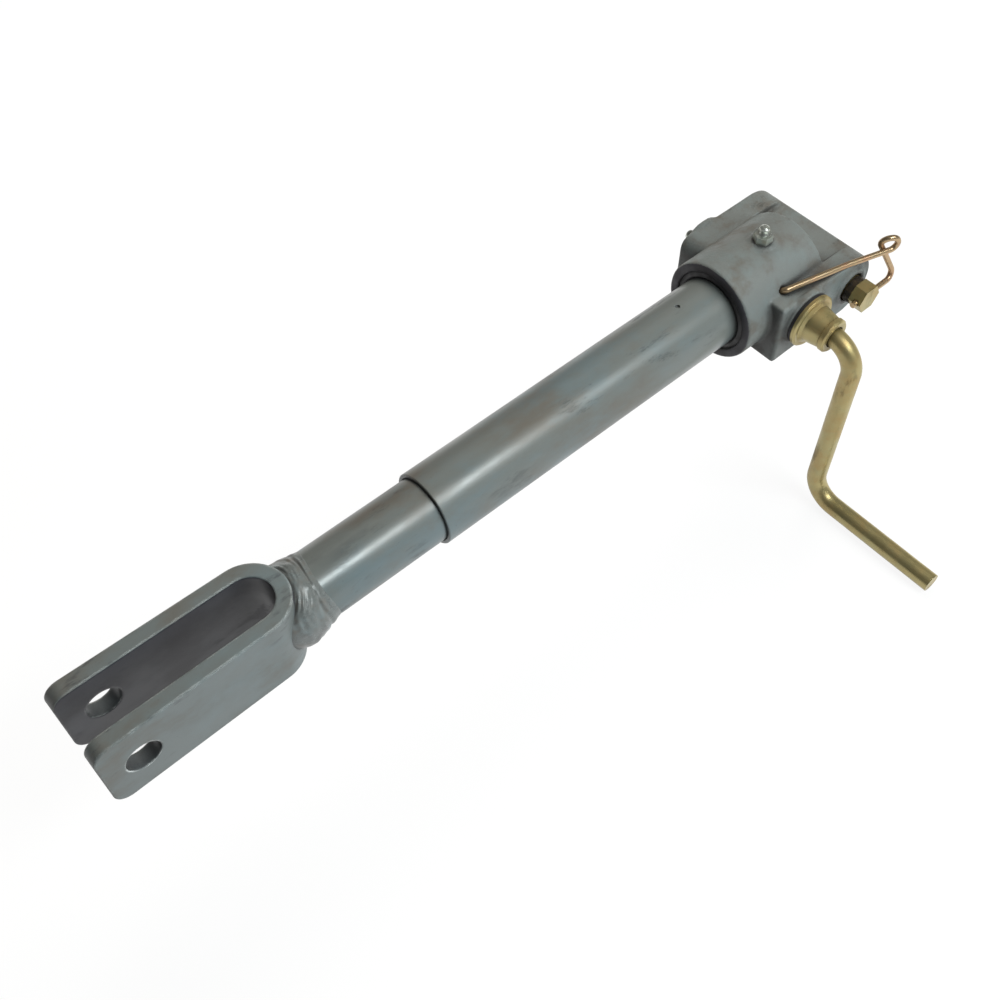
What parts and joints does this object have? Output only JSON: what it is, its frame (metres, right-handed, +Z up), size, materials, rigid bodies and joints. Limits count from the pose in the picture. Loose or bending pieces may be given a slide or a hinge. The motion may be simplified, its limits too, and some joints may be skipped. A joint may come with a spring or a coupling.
{
  "type": "three-point levelling box",
  "caption": "Adjustable lift rod for a three-point hitch: a crank and bevel gears turn a screw that slides a forked inner tube in or out of an outer tube below a yoked gear housing.",
  "frame": {"origin": "middle of the upper yoke pin, on its axis", "axes": "+X along the rod from the lower fork to the housing, +Z up through the top grease nipple, crank grip towards -Y"},
  "size_m": [0.5459, 0.2386, 0.1857],
  "materials": {
    "grey_paint": "semi-gloss paint over cast and drawn steel",
    "black_rubber": "matte",
    "plain_steel": "turned",
    "bearing_bronze": "turned bronze",
    "spring_steel": "dark ground",
    "bearing_steel": "ground and polished",
    "gear_steel": "cut and oiled",
    "yellow_zinc": "yellow passivated zinc",
    "copper_wire": "copper-coloured plated spring wire",
    "bright_zinc": "bright zinc"
  },
  "bodies": {
    "housing": {"gear_housing": "grey_paint", "outer_tube": "grey_paint", "tube_seal": "black_rubber", "gland_ring": "plain_steel", "thrust_plate": "plain_steel", "screw_bush": "bearing_bronze", "fixed_race": "bearing_steel", "crank_carrier": "plain_steel", "crank_bush": "bearing_bronze", "crank_far_bush": "bearing_bronze", "crank_seal": "black_rubber", "thrust_washer": "bearing_bronze", "upper_pin": "yellow_zinc", "grease_nipple_top": "bright_zinc", "grease_nipple_side": "bright_zinc"},
    "crank": {"crank_handle": "yellow_zinc", "crank_flange": "yellow_zinc", "crank_shaft": "gear_steel", "bevel_pinion": "gear_steel", "pinion_pin": "spring_steel", "shaft_clip": "spring_steel"},
    "screw": {"levelling_screw": "gear_steel", "bevel_wheel": "gear_steel", "wheel_pin": "spring_steel", "turning_race": "bearing_steel"},
    "bearing": {"thrust_balls": "bearing_steel", "ball_cage": "bearing_bronze"},
    "fork": {"inner_tube": "grey_paint", "lower_fork": "grey_paint", "fork_weld": "grey_paint", "screw_nut": "bearing_bronze", "nut_pins": "spring_steel"},
    "clip": {"wire_clip": "copper_wire"}
  },
  "joints": [
    {"name": "crank_turn", "type": "hinge", "parent": "housing", "child": "crank", "pos_m": [-0.0458, 0, 0.006], "axis": [0, -1, 0], "range_deg": [-5220, 6960]},
    {"name": "screw_turn", "type": "hinge", "parent": "housing", "child": "screw", "pos_m": [-0.0458, 0, 0.006], "axis": [1, 0, 0], "range_deg": [-3600, 4800]},
    {"name": "bearing_turn", "type": "hinge", "parent": "housing", "child": "bearing", "pos_m": [-0.0458, 0, 0.006], "axis": [1, 0, 0], "range_deg": [-1800, 2400]},
    {"name": "fork_slide", "type": "slide", "parent": "housing", "child": "fork", "axis": [1, 0, 0], "range_m": [-0.08, 0.06]},
    {"name": "clip_swing", "type": "hinge", "parent": "housing", "child": "clip", "pos_m": [0, -0.0518, 0], "axis": [1, 0, 0], "range_deg": [0, 45]}
  ],
  "couplings": [
    {"joint": "screw_turn", "follows": "crank_turn", "ratio": 0.6875},
    {"joint": "bearing_turn", "follows": "crank_turn", "ratio": 0.34375},
    {"joint": "fork_slide", "follows": "crank_turn", "m_per_rad": -0.00065651}
  ]
}
